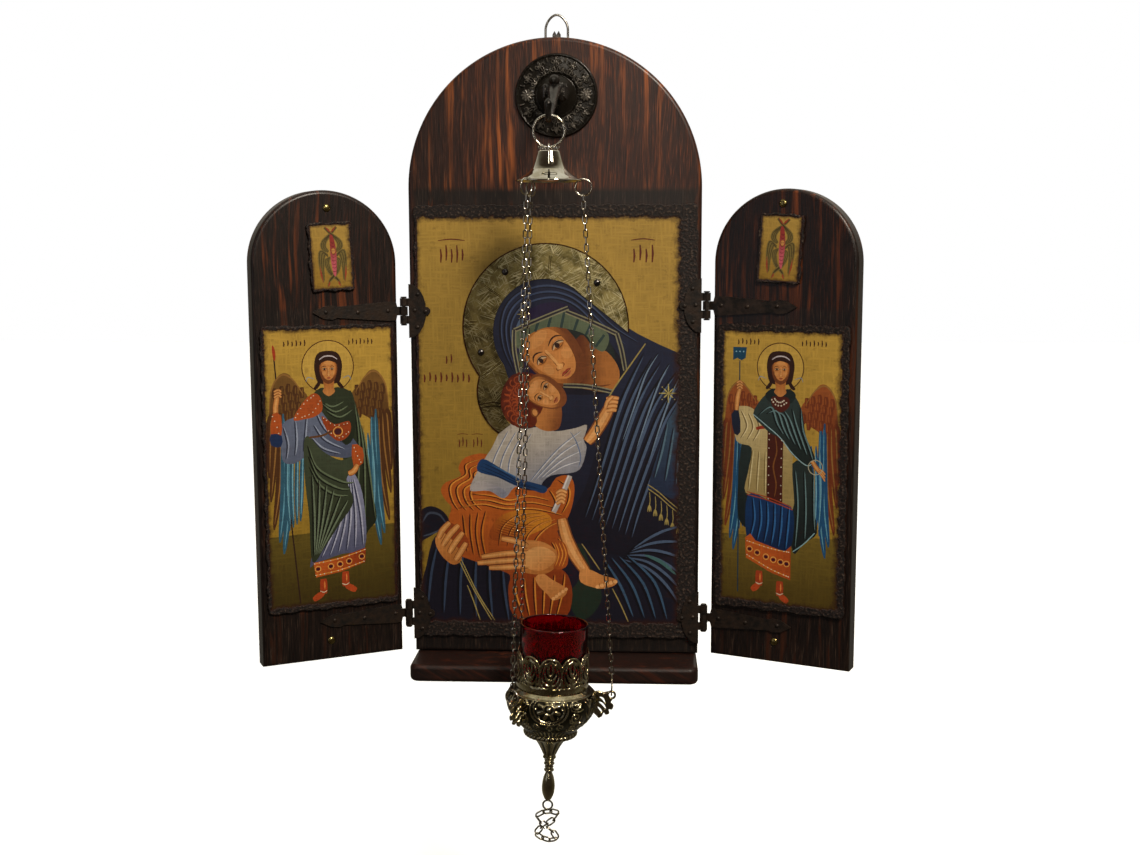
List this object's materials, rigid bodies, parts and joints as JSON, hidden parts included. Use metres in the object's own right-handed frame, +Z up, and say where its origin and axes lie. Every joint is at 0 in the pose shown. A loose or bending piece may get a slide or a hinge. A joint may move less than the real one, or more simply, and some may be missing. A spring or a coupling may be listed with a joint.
{
  "type": "wall-hung folding icon triptych with a hanging vigil lamp",
  "caption": "Arched wooden folding triptych on a ledge, with hinged wings, a brass halo plate and a vigil lamp on chains below an iron hook.",
  "frame": {"origin": "on the back face of the centre board, on its centre line, half way up the board and its ledge", "axes": "+Z up, +Y out of the back towards the wall, -Y towards the viewer, +X to the viewer's right"},
  "size_m": [0.5495, 0.1612, 0.743],
  "materials": {
    "wood": "torch-burnt and stained pine under satin varnish",
    "picture": "varnished picture on a thin wooden plaque with burnt ragged edges",
    "iron": "black cast iron, satin",
    "hinge_iron": "black-brown forged iron, satin",
    "steel": "plain steel, a little dull",
    "brass": "scratched pale brass leaf",
    "nickel": "polished nickel plate over chased brass",
    "ruby_glass": "clear ruby glass"
  },
  "bodies": {
    "root": {"base_ledge": "wood", "bowl_ear_1": "nickel", "bowl_ear_2": "nickel", "bowl_ear_3": "nickel", "bowl_ring_1": "nickel", "bowl_ring_2": "nickel", "bowl_ring_3": "nickel", "canopy_eye": "nickel", "canopy_ring_1": "nickel", "canopy_ring_2": "nickel", "canopy_ring_3": "nickel", "centre_board": "wood", "centre_icon_plaque": "picture", "finial_ring": "nickel", "halo_nail_1": "steel", "halo_nail_2": "steel", "halo_nail_3": "steel", "halo_plate": "brass", "hanger_plate": "steel", "hanging_ring": "steel", "hook_rosette": "iron", "lamp_bowl": "nickel", "lamp_canopy": "nickel", "lamp_chain_1": "nickel", "lamp_chain_2": "nickel", "lamp_chain_3": "nickel", "lamp_finial": "nickel", "lamp_gallery": "nickel", "lamp_glass": "ruby_glass", "lamp_hook": "iron", "lamp_ring": "nickel", "left_lower_hinge_leaf": "hinge_iron", "left_lower_hinge_pin": "hinge_iron", "left_upper_hinge_leaf": "hinge_iron", "left_upper_hinge_pin": "hinge_iron", "right_lower_hinge_leaf": "hinge_iron", "right_lower_hinge_pin": "hinge_iron", "right_upper_hinge_leaf": "hinge_iron", "right_upper_hinge_pin": "hinge_iron", "tail_chain": "nickel"},
    "left_wing": {"left_wing_board": "wood", "left_icon_plaque": "picture", "left_seraph_plaque": "picture", "left_top_nail": "brass", "left_bottom_nail": "brass", "left_upper_hinge_strap": "hinge_iron", "left_lower_hinge_strap": "hinge_iron"},
    "right_wing": {"right_wing_board": "wood", "right_icon_plaque": "picture", "right_seraph_plaque": "picture", "right_top_nail": "brass", "right_bottom_nail": "brass", "right_upper_hinge_strap": "hinge_iron", "right_lower_hinge_strap": "hinge_iron"}
  },
  "joints": [
    {"name": "left_wing_hinge", "type": "hinge", "parent": "root", "child": "left_wing", "pos_m": [-0.14, -0.0221, 0], "axis": [0, 0, 1], "range_deg": [-27.6, 87.4]},
    {"name": "right_wing_hinge", "type": "hinge", "parent": "root", "child": "right_wing", "pos_m": [0.14, -0.0221, 0], "axis": [0, 0, -1], "range_deg": [-23.8, 91.2]}
  ]
}
